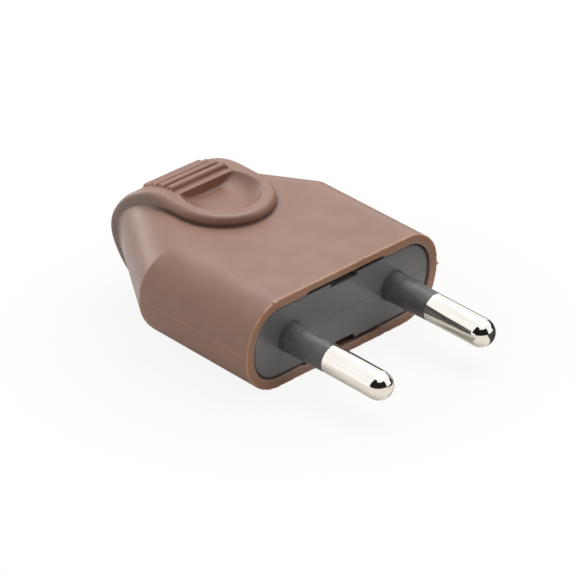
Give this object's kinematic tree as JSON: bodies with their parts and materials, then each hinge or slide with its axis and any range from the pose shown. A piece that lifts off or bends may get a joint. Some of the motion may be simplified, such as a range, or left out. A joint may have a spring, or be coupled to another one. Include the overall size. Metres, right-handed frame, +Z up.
{
  "type": "two-pin plug",
  "caption": "Rewireable two-pin plug: round pins with half sleeves, a hard insert and a soft tapered cover with a ribbed pull strap and thumb dish over its rear end.",
  "frame": {"origin": "middle of the cover's mouth, in the plane that meets the socket", "axes": "+Y from the mouth to the rear end, so the pins point to -Y; +Z up through a flat side; +X to the right seen from the pins' side"},
  "size_m": [0.0352, 0.0541, 0.0172],
  "materials": {
    "cover": "soft moulded, matt, brown",
    "insert": "moulded, satin, dark grey",
    "sleeves": "moulded, satin, dark grey",
    "pins": "turned and bright plated",
    "screws": "plated steel"
  },
  "bodies": {
    "root": {"cover": "cover", "insert_upper": "insert", "insert_lower": "insert", "pin_left": "pins", "pin_right": "pins", "pin_sleeve_left": "sleeves", "pin_sleeve_right": "sleeves", "terminal_screws": "screws", "case_screw": "screws", "cord_clamp": "insert", "clamp_screws": "screws"}
  },
  "joints": []
}
